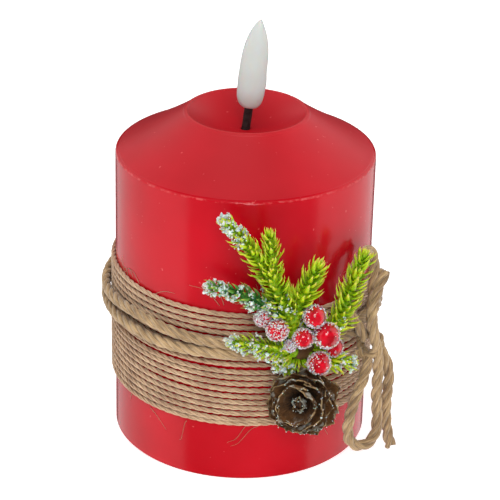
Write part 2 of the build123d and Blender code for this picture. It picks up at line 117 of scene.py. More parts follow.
# %% One material
class Finish:
    """A material and the shader that it feeds."""

    def __init__(self, name, **constants):
        self.material = bpy.data.materials.new(name)
        self.material.use_nodes = True
        self.tree = self.material.node_tree
        self.shader = self.tree.nodes["Principled BSDF"]
        for socket, value in constants.items():
            self.join(value, self.shader.inputs[socket.replace("_", " ")])

    def join(self, value, socket):
        if isinstance(value, Signal):
            self.tree.links.new(value.socket, socket)
        elif socket.type == "RGBA" and len(value) == 3:
            socket.default_value = (*value, 1)
        else:
            socket.default_value = value

    def add(self, kind, settings=None, sockets=None, output=0):
        """Any node: its settings first, then the values or links of its sockets."""
        node = self.tree.nodes.new(kind)
        for name, value in (settings or {}).items():
            setattr(node, name, value)
        for name, value in (sockets or {}).items():
            self.join(value, node.inputs[name])
        return Signal(self, node.outputs[output])

    def feed(self, **inputs):
        for socket, value in inputs.items():
            self.join(value, self.shader.inputs[socket.replace("_", " ")])
        return self.material

    def mix(self, first, second, amount):
        return self.add("ShaderNodeMix", {"data_type": "RGBA"}, {0: amount, 6: first, 7: second}, 2)

    def place(self):
        """The point on the piece, in metres."""
        return self.add("ShaderNodeTexCoord", output="Object")

    def noise(self, scale, detail=3.0, where=None):
        sockets = {"Vector": where or self.place(), "Scale": scale, "Detail": detail, "Roughness": 0.5}
        return self.add("ShaderNodeTexNoise", {}, sockets)

    def stretched(self, where, stretch):
        """The same point with each axis scaled, for grain that runs one way."""
        return self.add("ShaderNodeVectorMath", {"operation": "MULTIPLY"}, {0: where, 1: stretch})

    def bump(self, height, strength, distance):
        sockets = {"Height": height, "Strength": strength, "Distance": distance}
        return self.add("ShaderNodeBump", {}, sockets)


def paint(red, green, blue):
    """A colour as a screen shows it, from 0 to 255, turned into linear light."""
    return tuple(((v / 255 + 0.055) / 1.055) ** 2.4 if v > 10 else v / 3295 for v in (red, green, blue))


# %% [markdown]
# Jute is a bast fibre: long pale strands with darker flecks, lying along the yarn. Every strand
# mesh below carries a grain vector, its length along the strand and the two parts of its angle,
# so the same noise can be stretched into streaks that follow each strand round its twist.

# %% Jute finishes
def jute(name, dark, light, streak_scale):
    finish = Finish(name, Roughness=0.9, Sheen_Weight=0.35, Sheen_Roughness=0.5)
    grain = finish.add("ShaderNodeAttribute", {"attribute_name": "grain"}, output="Vector")
    streak = finish.noise(streak_scale, 4.0, finish.stretched(grain, (120.0, 1.0, 1.0)))
    fleck = finish.noise(900.0, 2.0)
    shade = finish.noise(160.0, 2.0)
    tone = (streak * 0.75 + shade * 0.45 - 0.1).step(0.25, 0.75)
    colour = finish.mix(dark, light, tone)
    colour = finish.mix(colour, paint(104, 74, 46), fleck.step(0.62, 0.8) * 0.4)
    normal = finish.bump(streak + fleck * 0.5, 0.7, 0.00025)
    return finish.feed(Base_Color=colour, Normal=normal)


rope_finish = jute("laid_jute_rope", paint(116, 88, 57), paint(206, 174, 129), 3.0)
thread_finish = jute("spun_jute_thread", paint(158, 118, 88), paint(224, 192, 154), 3.0)
print("jute finishes", rope_finish.name, thread_finish.name)

# %% [markdown]
# All the soft trim is made of simple shapes repeated many times: strands, fibres, needles,
# crumbs. A Stock gathers their vertices and faces into one mesh, which is far quicker than
# making an object for each, and carries the grain and a tint for the material to read.

# %% Gather many shapes into one mesh
class Stock:
    """Vertices and faces on their way to one piece."""

    def __init__(self):
        self.points, self.grain, self.tint, self.faces, self.count = [], [], [], [], 0

    def add(self, points, faces, grain=None, tint=0.0):
        points = np.asarray(points, float).reshape(-1, 3)
        total = len(points)
        self.points.append(points)
        self.grain.append(np.zeros((total, 3)) if grain is None else grain)
        self.tint.append(np.broadcast_to(np.asarray(tint, float), (total,)))
        self.faces += [tuple(int(i) + self.count for i in face) for face in faces]
        self.count += total

    def piece(self, name, material):
        mesh = bpy.data.meshes.new(name)
        mesh.from_pydata(np.concatenate(self.points).tolist(), [], self.faces)
        grain = mesh.attributes.new("grain", "FLOAT_VECTOR", "POINT")
        grain.data.foreach_set("vector", np.concatenate(self.grain).ravel())
        tint = mesh.attributes.new("tint", "FLOAT", "POINT")
        tint.data.foreach_set("value", np.concatenate(self.tint))
        mesh.polygons.foreach_set("use_smooth", [True] * len(mesh.polygons))
        mesh.materials.append(material)
        made = bpy.data.objects.new(name, mesh)
        bpy.context.scene.collection.objects.link(made)
        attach(made, BODY)
        print(name, "vertices", self.count, "faces", len(self.faces))
        return made


# %% Strands along a line
def unit(vectors):
    return vectors / np.linalg.norm(vectors, axis=-1, keepdims=True)


def across(line):
    """Two directions across a line at each point, carried along it without twist."""
    ahead = unit(np.gradient(line, axis=0))
    side = np.empty_like(line)
    first = np.cross(ahead[0], (0.31, 0.17, 0.94))
    side[0] = first / np.linalg.norm(first)
    for i in range(1, len(line)):
        carried = side[i - 1] - ahead[i] * (side[i - 1] @ ahead[i])
        side[i] = carried / math.sqrt(carried @ carried)
    return side, np.cross(ahead, side)


def tube_faces(rings, sides):
    quads = []
    for ring in range(rings - 1):
        here, there = ring * sides, (ring + 1) * sides
        quads += [
            (here + i, here + (i + 1) % sides, there + (i + 1) % sides, there + i) for i in range(sides)
        ]
    return quads + [tuple(range(sides))[::-1], tuple(range((rings - 1) * sides, rings * sides))]


def strand(stock, line, radius, sides, tint=0.0):
    """A round tube whose radius may change along it."""
    side, up = across(line)
    turn = np.arange(sides) * 2 * math.pi / sides
    spoke = np.cos(turn)[None, :, None] * side[:, None] + np.sin(turn)[None, :, None] * up[:, None]
    radius = np.broadcast_to(radius, (len(line),))[:, None, None]
    along = np.concatenate([[0], np.cumsum(np.linalg.norm(np.diff(line, axis=0), axis=1))])
    grain = np.stack(np.broadcast_arrays(along[:, None], np.cos(turn), np.sin(turn) + tint * 7), -1)
    stock.add(line[:, None] + spoke * radius, tube_faces(len(line), sides), grain.reshape(-1, 3), tint)


def laid(stock, line, diameter, plies, pitch, sides, splay=0.0):
    """Rope: plies wound about a line. Splay opens them where the rope is cut."""
    inscribed = math.sin(math.pi / plies)
    ply = diameter / 2 * inscribed / (1 + inscribed)
    side, up = across(line)
    along = np.concatenate([[0], np.cumsum(np.linalg.norm(np.diff(line, axis=0), axis=1))])
    offset = (diameter / 2 - ply) * (1 + splay)
    for number in range(plies):
        angle = 2 * math.pi * (number / plies + along / pitch)
        path = line + (offset * np.cos(angle))[:, None] * side + (offset * np.sin(angle))[:, None] * up
        strand(stock, path, ply * 1.07, sides, tint=number / plies)


# %% [markdown]
# The bow is two free stretches of the same rope. Each leaves the knot, goes round its loop,
# passes the knot again and ends in a cut tail. A smooth spline through a handful of chosen
# points gives the line, and the plies are wound about it.

# %% Routes of the bow
UPPER_ROUTE = [
    (35.3, -26.7, 41.5),
    (33.9, -27.4, 45.0),
    (30.4, -29.3, 50.6),
    (28.2, -31.0, 56.0),
    (29.4, -29.8, 60.4),
    (31.4, -27.4, 64.0),
    (33.6, -23.8, 66.6),
    (35.6, -20.6, 66.9),
    (37.2, -19.2, 63.8),
    (37.4, -20.3, 59.4),
    (37.2, -22.4, 54.0),
    (36.9, -24.9, 47.4),
    (37.9, -25.8, 42.2),
    (39.6, -25.1, 37.8),
    (41.9, -25.3, 34.4),
    (43.0, -26.1, 29.6),
    (42.5, -26.7, 23.6),
    (42.4, -26.9, 17.2),
    (43.2, -27.3, 11.2),
    (44.3, -27.1, 6.6),
]
LOWER_ROUTE = [
    (36.6, -28.6, 37.2),
    (36.0, -31.0, 33.6),
    (34.2, -33.1, 29.2),
    (32.4, -34.1, 23.6),
    (31.2, -34.8, 17.8),
    (31.4, -34.9, 12.9),
    (33.8, -34.4, 10.2),
    (37.2, -33.3, 10.2),
    (39.6, -32.0, 13.0),
    (39.9, -30.8, 18.4),
    (39.2, -29.9, 25.0),
    (39.5, -29.3, 31.2),
    (39.3, -28.7, 37.0),
    (38.1, -28.7, 42.6),
    (36.8, -28.6, 47.6),
    (37.1, -28.2, 53.2),
    (38.3, -27.0, 58.2),
    (40.2, -25.1, 62.3),
]
BOW_D = 2.6 * MM
BOW_PITCH = 13.0 * MM
print("route points", len(UPPER_ROUTE), len(LOWER_ROUTE))


# %% Wind the bow's rope
def smooth_line(route, spacing):
    """Evenly spaced points along the route's own spline, in metres."""
    curve = bpy.data.curves.new("route", "CURVE")
    curve.dimensions = "3D"
    spline = curve.splines.new("NURBS")
    spline.points.add(len(route) - 1)
    for point, place in zip(spline.points, route):
        point.co = (*(v * MM for v in place), 1)
    spline.order_u = 3
    spline.use_endpoint_u = True
    spline.resolution_u = 24
    holder = bpy.data.objects.new("route", curve)
    mesh = bpy.data.meshes.new_from_object(holder)
    line = np.array([v.co for v in mesh.vertices])
    bpy.data.objects.remove(holder)
    return evenly(line, spacing)


def evenly(line, spacing):
    along = np.concatenate([[0], np.cumsum(np.linalg.norm(np.diff(line, axis=0), axis=1))])
    stops = np.linspace(0, along[-1], max(3, int(along[-1] / spacing)))
    return np.stack([np.interp(stops, along, line[:, i]) for i in range(3)], 1)


def bow_half(name, route, node):
    line = smooth_line(route, 0.35 * MM)
    length = float(np.linalg.norm(np.diff(line, axis=0), axis=1).sum())
    to_end = (1 - np.linspace(0, 1, len(line))) * length
    splay = 0.25 * np.clip(1 - to_end / (3 * MM), 0, 1)
    stock = Stock()
    laid(stock, line, BOW_D * 1.25, 3, BOW_PITCH, 12, splay)
    rope = stock.piece(name, rope_finish)
    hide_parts(node)
    print(name, "length, mm", round(length / MM, 1))
    return line


upper_line = bow_half("bow_rope_upper", UPPER_ROUTE, "bow_cord_upper")
lower_line = bow_half("bow_rope_lower", LOWER_ROUTE, "bow_cord_lower")

# %% [markdown]
# The rope round the pillar is one length. It comes out of the knot, runs left across the front,
# goes all the way round, climbs onto a second turn that rises to the left, and ends back in the
# knot. Angles are measured from the front, positive to the right.

# %% Places on the pillar
WAX_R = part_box("wax_body")[1].x
KNOT_AZ = 54.6


def about(azimuth, radius, height):
    """Points at an angle from the front, a distance from the axis and a height."""
    turn = np.radians(azimuth)
    parts = np.broadcast_arrays(radius * np.sin(turn), -radius * np.cos(turn), height)
    return np.stack(parts, -1)


KNOT = about(KNOT_AZ, 45.2 * MM, 39.4 * MM)
print("wax radius, mm", round(WAX_R / MM, 2), "knot, mm", np.round(KNOT / MM, 1))

# %% The wrapped rope
lower_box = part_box("rope_turn_lower")
ROPE_D = lower_box[1].z - lower_box[0].z
ROPE_R = lower_box[1].x - ROPE_D / 2
ROPE_Z = (lower_box[0].z + lower_box[1].z) / 2


def rope_height(swept):
    """Height of the rope's middle after sweeping that many degrees left of the knot."""
    stops = [0, 20, 60, 330, 360, 400, 418, 430, 445, 463, 500, 524, 660, 720]
    rise = [-0.6, 0.1, 0.1, 0.2, 2.2, 3.1, 3.3, 3.7, 4.4, 5.6, 3.8, 3.5, 3.4, 2.6]
    return ROPE_Z + np.interp(swept, stops, rise) * MM


swept = np.linspace(0, 720, 3600)
wrap_heights = np.convolve(np.pad(rope_height(swept), 35, "edge"), np.ones(71) / 71, "valid")
wander = 0.12 * MM * np.sin(np.radians(swept * 3.3)) + 0.1 * MM * np.sin(np.radians(swept * 7.1 + 40))
wrap_line = about(KNOT_AZ - swept, ROPE_R + 0.05 * MM, wrap_heights + wander)
WRAP_D = ROPE_D * 1.15
WRAP_PITCH = 11.0 * MM
FLATTENED = 0.74
stock = Stock()
laid(stock, evenly(wrap_line, 0.4 * MM), WRAP_D, 3, WRAP_PITCH, 9)
pressed = np.concatenate(stock.points)
reach = np.hypot(pressed[:, 0], pressed[:, 1])
pressed[:, :2] *= ((ROPE_R + (reach - ROPE_R) * FLATTENED) / reach)[:, None]
stock.points = [pressed]
wrap_rope = stock.piece("wrap_rope", rope_finish)
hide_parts("rope_turn_lower", "rope_turn_upper")

# %% [markdown]
# The knot is the same rope again, a turn and three quarters about the place where the bow's two
# halves cross, with its ends tucked behind. Each wind lies a little further along than the last, and
# the winds swell and narrow a little.

# %% The knot
tangent = about(KNOT_AZ + 90, 1.0, 0.0)
outward = about(KNOT_AZ, 1.0, 0.0)
upward = np.array([0, 0, 1.0])
turn = np.linspace(math.radians(-150), math.radians(520), 260)
slope = np.linspace(-1, 1, len(turn))
wide = (3.0 + 0.25 * np.sin(turn * 0.7)) * MM
coil = (
    KNOT
    + (wide * np.cos(turn))[:, None] * outward
    + (wide * 0.95 * np.sin(turn))[:, None] * upward
    + (slope * 2.1 * MM + 0.9 * MM * np.sin(turn))[:, None] * tangent
)
KNOT_PITCH = 7.0 * MM
stock = Stock()
laid(stock, evenly(coil, 0.35 * MM), BOW_D, 3, KNOT_PITCH, 10)
knot = stock.piece("bow_knot_rope", rope_finish)
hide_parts("bow_knot")

# %% [markdown]
# Under the rope the pillar is wound with fine three-ply thread, nineteen turns of one length. The
# turns lie a little apart, so red wax shows between them, and they wander, crowd and climb to
# the left. The spacing noise is fixed, so the winding is the same each time.

# %% The thread winding
band_low, band_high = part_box("jute_thread_band")
THREAD_D = 1.24 * MM
THREAD_PITCH = 8.0 * MM
TURNS = 19
band_middle = (band_low.z + band_high.z) / 2
band_rise = (band_high.z - band_low.z) / 2 - THREAD_D / 2 - 0.8 * MM
dice = np.random.default_rng(11)
lean_left = 0.85 * MM
seats = np.linspace(-1, 1, TURNS) * band_rise + dice.normal(0, 0.14 * MM, TURNS)
swept = np.linspace(0, 360 * TURNS, 320 * TURNS)
height = band_middle + np.interp(swept / 360 - 0.5, np.arange(TURNS), seats)
for waves in (1, 2, 3, 5):
    size = dice.normal(0, 0.2 * MM / waves, TURNS + 1)
    phase = dice.uniform(0, 360)
    swing = np.sin(np.radians(swept * waves + phase))
    height = height + np.interp(swept / 360, np.arange(TURNS + 1), size) * swing
facing_az = 60 - swept
height = height + lean_left * np.cos(np.radians(facing_az + 90))
thread_line = about(facing_az, WAX_R + THREAD_D * 0.5, height)
stock = Stock()
laid(stock, thread_line, THREAD_D * 1.18, 3, THREAD_PITCH, 5)
thread = stock.piece("jute_thread_winding", thread_finish)
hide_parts("jute_thread_band")


# %% [markdown]
# Jute sheds. Loose fibres stand off every strand, and the odd long one has come away from the
# winding and lies against the wax. Each fibre is a hair-thin curved tube.

# %% Loose fibres
def fuzz(stock, line, radius, count, longest, seed):
    """Fibres that leave a strand mostly along it and curl away."""
    dice = np.random.default_rng(seed)
    side, up = across(line)
    ahead = unit(np.gradient(line, axis=0))
    for _ in range(count):
        i = dice.integers(2, len(line) - 2)
        angle = dice.uniform(0, 2 * math.pi)
        out = math.cos(angle) * side[i] + math.sin(angle) * up[i]
        sideways = math.cos(angle + 1.57) * side[i] + math.sin(angle + 1.57) * up[i]
        way = ahead[i] * dice.choice([-1, 1]) * dice.uniform(0.5, 1) + out * dice.uniform(0.15, 0.8)
        way = way + sideways * dice.uniform(-0.6, 0.6)
        length = longest * dice.uniform(0.25, 1) ** 1.5
        curl = out * dice.uniform(-0.6, 0.35) + sideways * dice.uniform(-0.5, 0.5)
        t = np.linspace(0, 1, 6)[:, None]
        fibre = line[i] + out * radius * 0.85 + way * t * length + curl * t * t * length
        strand(stock, fibre, np.linspace(1, 0.35, 6) * dice.uniform(0.03, 0.055) * MM, 3, dice.uniform())


stock = Stock()
fuzz(stock, upper_line, BOW_D / 2, 260, 3.4 * MM, 1)
fuzz(stock, lower_line, BOW_D / 2, 240, 3.4 * MM, 2)
fuzz(stock, evenly(coil, 0.5 * MM), BOW_D / 2, 90, 3.0 * MM, 3)
fuzz(stock, evenly(wrap_line, 0.8 * MM), ROPE_D / 2, 900, 3.0 * MM, 4)
fuzz(stock, thread_line, THREAD_D / 2, 1500, 2.6 * MM, 5)
dice = np.random.default_rng(6)
for _ in range(26):
    low_end = dice.uniform() < 0.6
    start = dice.uniform(-75, 75)
    swing = dice.uniform(-14, 14)
    base = (band_low.z if low_end else band_high.z) + dice.uniform(-1, 1) * MM
    t = np.linspace(0, 1, 14)
    climb = dice.uniform(1, 7) * MM * (-1 if low_end else 1)
    curl = dice.uniform(0.3, 1.5) * MM * np.sin(t * dice.uniform(3, 8))
    hair = about(start + swing * t, WAX_R + 0.12 * MM, base + climb * t + curl)
    strand(stock, hair, np.linspace(0.07, 0.03, 14) * MM, 4, dice.uniform())
fibres = stock.piece("jute_fibres", rope_finish)

# %% [markdown]
# The greenery is moulded in soft plastic. A ribbed core carries broad flat needles, each wide
# at its root and ending in a pale point, set at the golden angle as on a real shoot. They lean
# forward and crowd, so hardly a gap shows. The tint runs from 0 at the root to 1 at the point.

# %% Needle finish
def needles_finish(name, deep, fresh, tip):
    finish = Finish(name, Roughness=0.42, Subsurface_Weight=0.3, Subsurface_Scale=0.0015)
    tint = finish.add("ShaderNodeAttribute", {"attribute_name": "tint"}, output="Fac")
    grain = finish.add("ShaderNodeAttribute", {"attribute_name": "grain"}, output="Vector")
    shade = finish.noise(220.0, 2.0)
    vary = finish.noise(3.0, 1.0, grain)
    colour = finish.mix(deep, fresh, (tint * 0.5 + shade * 0.8 + vary * 0.7 - 0.55).step(0.0, 0.8))
    colour = finish.mix(colour, tip, (tint + vary * 0.4).step(0.92, 1.25) * 0.9)
    normal = finish.bump(finish.noise(1400.0, 2.0) + shade, 0.3, 0.0002)
    return finish.feed(Base_Color=colour, Normal=normal)


fresh_needles = needles_finish("fresh_needles", paint(112, 166, 4), paint(192, 216, 20), paint(238, 196, 104))
dark_needles = needles_finish("dark_needles", paint(26, 108, 52), paint(112, 172, 56), paint(232, 184, 104))
print("needle finishes", fresh_needles.name, dark_needles.name)


# %% One needle and one shoot
def needle(stock, root, way, flat, length, width, shade):
    """A flat blade: three four-sided rings and a point, bowed a little towards its core."""
    edge = np.cross(way, flat)
    edge /= np.linalg.norm(edge)
    face = np.cross(edge, way)
    bow = face * length * 0.08
    points, tint = [], []
    for share, spread in ((0.0, 0.9), (0.4, 1.0), (0.78, 0.52)):
        middle = root + way * length * share + bow * math.sin(share * 3)
        points += [middle + edge * width * spread, middle + face * width * spread * 0.4]
        points += [middle - edge * width * spread, middle - face * width * spread * 0.4]
        tint += [share] * 4
    points.append(root + way * length - bow * 0.5)
    tint.append(1.0)
    faces = [(r + i, r + (i + 1) % 4, r + 4 + (i + 1) % 4, r + 4 + i) for r in (0, 4) for i in range(4)]
    faces += [(8 + i, 8 + (i + 1) % 4, 12) for i in range(4)] + [(3, 2, 1, 0)]
    stock.add(points, faces, np.full((13, 3), shade), tint)


GOLDEN = math.radians(137.508)


def shoot(stock, line, core, longest, spread, seed, first, places):
    """Needles round a core that thins towards its tip; where each one lies is kept for snow."""
    dice = np.random.default_rng(seed)
    line = evenly(line, 0.23 * MM)
    side, up = across(line)
    ahead = unit(np.gradient(line, axis=0))
    total = len(line)
    for i in range(int(first * total), total):
        share = i / (total - 1)
        size = longest * (0.84 + 0.2 * math.sin(math.pi * min(1, share * 1.1))) * dice.uniform(0.75, 1.25)
        lean = math.radians(spread - 0.4 * spread * share**3 + dice.uniform(-12, 10))
        turn = GOLDEN * i + dice.uniform(-0.3, 0.3)
        out = math.cos(turn) * side[i] + math.sin(turn) * up[i]
        way = math.cos(lean) * ahead[i] + math.sin(lean) * out
        root = line[i] + out * core * (0.8 - 0.45 * share)
        needle(stock, root, way, out, size, size * dice.uniform(0.14, 0.19), dice.uniform(0, 9))
        places.append((root + way * size * dice.uniform(0.35, 0.95), out, share))
    for extra in range(6):
        out = math.cos(extra * 1.05) * side[-1] + math.sin(extra * 1.05) * up[-1]
        way = unit(ahead[-1] + 0.3 * out)
        needle(stock, line[-1], way, out, longest * 0.75, longest * 0.17, dice.uniform(0, 9))
        places.append((line[-1] + way * longest * dice.uniform(0.3, 0.7), out, 1.0))


# %% [markdown]
# Six of the shoots are fresh green and the one furthest left is darker. The cores follow
# the model's own routes, repeated here in millimetres, and each shoot has its core's radius, its
# needles' length and how many degrees they lean out.

# %% All the shoots
SHOOTS = {
    "fir_sprig_main": (
        [(16.0, -39.8, 46.6), (12.8, -41.2, 55.9), (6.0, -44.2, 73.0), (-4.4, -44.6, 84.6)],
        (1.9, 4.4, 46),
    ),
    "fir_sprig_side": ([(8.54, -43.08, 66.6), (7.9, -44.4, 71.5), (7.2, -45.4, 81.5)], (1.6, 3.9, 40)),
    "fir_sprig_left": ([(15.1, -40.2, 51.0), (9.6, -41.4, 60.4), (-8.0, -43.2, 65.0)], (1.5, 3.5, 50)),
    "fir_sprig_lower_left": (
        [(15.2, -40.3, 43.8), (11.5, -42.4, 45.8), (-2.0, -45.2, 48.9)],
        (1.5, 3.4, 48),
    ),
    "fir_sprig_upper_right": (
        [(14.4, -40.5, 54.0), (16.0, -41.2, 61.0), (20.2, -40.8, 69.6)],
        (1.7, 5.0, 46),
    ),
    "fir_sprig_right": (
        [(20.6, -37.3, 45.4), (27.4, -35.8, 50.0), (29.8, -34.8, 59.6), (33.2, -32.2, 69.2)],
        (1.7, 4.8, 48),
    ),
    "fir_sprig_lower_right": (
        [(19.0, -38.9, 42.2), (26.4, -36.8, 39.4), (30.6, -35.6, 38.6)],
        (1.3, 4.2, 54),
    ),
}
snow_places = {}
for number, (node, (route, (core, longest, spread))) in enumerate(SHOOTS.items()):
    line = smooth_line(route, 0.4 * MM)
    stock = Stock()
    ribs = 1 + 0.12 * np.sin(np.arange(len(line)) * 1.7)
    strand(stock, line, np.linspace(core, core * 0.4, len(line)) * ribs * MM, 10, 0.2)
    snow_places[node] = []
    shoot(stock, line, core * MM, longest * MM, spread, 40 + number, 0.1, snow_places[node])
    dark = node == "fir_sprig_left"
    green = stock.piece(node + "_needles", dark_needles if dark else fresh_needles)
    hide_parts(node)

# %% [markdown]
# At the root the pick is bound with short needles that point every way and hide the glue.

# %% Root tuft
glue_low, glue_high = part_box("glue_pad")
stock = Stock()
dice = np.random.default_rng(60)
heart = (np.array(glue_low) + np.array(glue_high)) / 2
face_out = unit(heart * (1, 1, 0))
face_side = np.cross((0, 0, 1.0), face_out)
tuft_places = []
for _ in range(300):
    angle, reach = dice.uniform(0, 2 * math.pi), dice.uniform(0.2, 1.0) ** 0.6
    spoke = math.cos(angle) * face_side + math.sin(angle) * np.array([0, 0, 1.0])
    root = heart + spoke * reach * 7.0 * MM + face_out * (3.4 - 3.2 * reach**2) * MM
    way = unit(spoke * dice.uniform(0.5, 1.3) * (0.4 + reach) + face_out * dice.uniform(0.25, 0.9))
    size = dice.uniform(2.4, 4.0) * MM
    flat = unit(face_out + 0.3 * dice.normal(0, 1, 3))
    needle(stock, root, way, flat, size, size * 0.2, dice.uniform(0, 9))
    tuft_places.append(root + way * size * dice.uniform(0.4, 0.9))
tuft = stock.piece("root_tuft_needles", fresh_needles)

# %% [markdown]
# The berries are glossy red and rolled in sugar frost. The frost is crumbs: small lumps, each
# a rough twelve-cornered solid, thick round the sides and the stalk end and thin on the front.

# %% Crumbs of frost
def twelve_corners():
    golden = (1 + 5**0.5) / 2
    flat = [(0, a, b * golden) for a in (-1, 1) for b in (-1, 1)]
    corners = unit(np.array([(x, y, z) for x, y, z in flat] + [(z, x, y) for x, y, z in flat]
                            + [(y, z, x) for x, y, z in flat]))
    near = np.linalg.norm(corners[0] - corners, axis=1)
    reach = sorted(near)[1] * 1.1
    faces = []
    for a in range(12):
        for b in range(a + 1, 12):
            for c in range(b + 1, 12):
                edges = corners[[a, b, c]] - corners[[b, c, a]]
                if np.all(np.linalg.norm(edges, axis=1) < reach):
                    outward_turn = np.cross(edges[0], edges[1]) @ corners[a] > 0
                    faces.append((a, b, c) if outward_turn else (a, c, b))
    return corners, faces


CORNERS, CRUMB_FACES = twelve_corners()
print("crumb corners and faces", len(CORNERS), len(CRUMB_FACES))


def crumb(stock, place, size, dice):
    rough = 1 + dice.uniform(-0.28, 0.28, (12, 1))
    stretch = dice.uniform(0.7, 1.3, 3)
    stock.add(place + CORNERS * rough * stretch * size, CRUMB_FACES, tint=dice.uniform())


# %% Frost and berry finishes
frost = Finish("sugar_frost", Roughness=0.35, Subsurface_Weight=0.4, Subsurface_Scale=0.0015)
shade = frost.add("ShaderNodeAttribute", {"attribute_name": "tint"}, output="Fac")
frost.feed(Base_Color=frost.mix(paint(168, 182, 172), paint(240, 242, 238), shade))
snow = frost.material
pink_frost = Finish("pink_frost", Roughness=0.3, Subsurface_Weight=0.5, Subsurface_Scale=0.002)
shade = pink_frost.add("ShaderNodeAttribute", {"attribute_name": "tint"}, output="Fac")
pink_frost.feed(Base_Color=pink_frost.mix(paint(204, 140, 146), paint(246, 238, 238), shade))

berry_finish = Finish("berry_red", Roughness=0.16, Coat_Weight=0.6, Coat_Roughness=0.1)
dimple = berry_finish.noise(420.0, 2.0)
red = berry_finish.mix(paint(150, 0, 16), paint(210, 6, 34), dimple.step(0.3, 0.65))
berry_finish.feed(Base_Color=red, Normal=berry_finish.bump(dimple, 0.4, 0.0005))
print("frost and berry finishes", snow.name, pink_frost.material.name, berry_finish.material.name)

# %% [markdown]
# A berry is a ball with a slight dent at its front, where the real ones have the scar of their
# flower. Its frost follows the direction it faces, out from the candle and a little up.

# %% The berries
def ball(stock, centre, radius, facing_way):
    """A ball with a dent where it faces outwards."""
    rings, sides = 22, 32
    side = unit(np.cross(facing_way, (0.1, 0.2, 0.97)))
    up = np.cross(facing_way, side)
    points = [centre + facing_way * radius * 0.97]
    for ring in range(1, rings):
        polar = math.pi * ring / rings
        size = radius * (1 - 0.03 * math.exp(-((polar / 0.3) ** 2)))
        for step in range(sides):
            angle = 2 * math.pi * step / sides
            spoke = math.cos(angle) * side + math.sin(angle) * up
            points.append(centre + size * (math.cos(polar) * facing_way + math.sin(polar) * spoke))
    points.append(centre - facing_way * radius)
    faces = [(0, 1 + i, 1 + (i + 1) % sides) for i in range(sides)]
    for ring in range(rings - 2):
        a, b = 1 + ring * sides, 1 + (ring + 1) * sides
        faces += [(a + i, b + i, b + (i + 1) % sides, a + (i + 1) % sides) for i in range(sides)]
    last, end = 1 + (rings - 2) * sides, len(points) - 1
    faces += [(last + (i + 1) % sides, last + i, end) for i in range(sides)]
    stock.add(points, faces)


def berry(number, centre, radius, heavy):
    """One berry and its frost. A heavily frosted one is crusted all over."""
    dice = np.random.default_rng(100 + number)
    centre = np.array(centre) * MM
    radius = radius * MM
    flat = np.array([centre[0], centre[1], 0])
    facing_way = unit(flat / np.linalg.norm(flat) + np.array([-0.15, 0, 0.35]))
    node = f"berry_{number}"
    stock = Stock()
    ball(stock, centre, radius, facing_way)
    fruit = stock.piece(node + "_fruit", berry_finish.material)
    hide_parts(node)
    stock = Stock()
    for _ in range(620):
        way = unit(dice.normal(0, 1, 3))
        front = way @ facing_way
        keep = 0.75 if heavy else (0.04 if front > 0.6 else (0.4 if front > 0.4 else 1.0))
        if dice.uniform() < keep:
            crumb(stock, centre + way * radius * dice.uniform(1.0, 1.12), dice.uniform(0.13, 0.32) * MM, dice)
    crust = stock.piece(node + "_frost", pink_frost.material)


BERRIES = [
    ((20.1, -42.5, 56.4), 3.0, False),
    ((23.7, -41.8, 50.2), 3.45, False),
    ((25.8, -37.3, 44.2), 2.7, False),
    ((21.9, -42.9, 41.9), 3.05, False),
    ((17.1, -44.1, 50.3), 2.65, False),
    ((9.9, -44.9, 53.0), 2.9, True),
    ((5.9, -42.5, 55.4), 2.3, True),
    ((13.7, -43.5, 47.5), 1.6, True),
]
for number, (centre, radius, heavy) in enumerate(BERRIES, start=1):
    berry(number, centre, radius, heavy)

# %% [markdown]
# Snow lies where it would fall and catch: on the tip of the main shoot, along the undersides of
# the two left shoots, and among the roots round the berries. It uses the needle places kept
# above, so no crumb hangs in the air.

# %% Snow on the shoots
def snow_on(stock, node, low, high, chance, below, dice):
    """Lumps on needles between two shares of a shoot; below=1 keeps them to its underside."""
    for place, out, share in snow_places[node]:
        if low <= share <= high and dice.uniform() < chance * (1 - below * (0.5 + 0.5 * out[2])):
            crumb(stock, place, dice.uniform(0.4, 0.68) * MM, dice)
            for _ in range(7):
                crumb(stock, place + dice.normal(0, 0.42 * MM, 3), dice.uniform(0.14, 0.42) * MM, dice)


stock = Stock()
dice = np.random.default_rng(77)
snow_on(stock, "fir_sprig_main", 0.8, 1.0, 0.95, 0.1, dice)
snow_on(stock, "fir_sprig_main", 0.1, 0.34, 0.5, 0.3, dice)
snow_on(stock, "fir_sprig_left", 0.3, 0.9, 1.3, 0.95, dice)
snow_on(stock, "fir_sprig_left", 0.84, 1.0, 0.9, 0.1, dice)
snow_on(stock, "fir_sprig_lower_left", 0.3, 1.0, 1.3, 0.92, dice)
snow_on(stock, "fir_sprig_lower_left", 0.86, 1.0, 0.5, 0.0, dice)
snow_on(stock, "fir_sprig_lower_right", 0.5, 1.0, 0.6, 0.1, dice)
snow_on(stock, "fir_sprig_right", 0.15, 0.5, 0.06, 0.0, dice)
for place in tuft_places:
    if place[0] < 12.5 * MM or dice.uniform() < 0.12:
        crumb(stock, place, dice.uniform(0.4, 0.7) * MM, dice)
        for _ in range(4):
            crumb(stock, place + dice.normal(0, 0.4 * MM, 3), dice.uniform(0.15, 0.42) * MM, dice)
snow_piece = stock.piece("shoot_snow", snow)
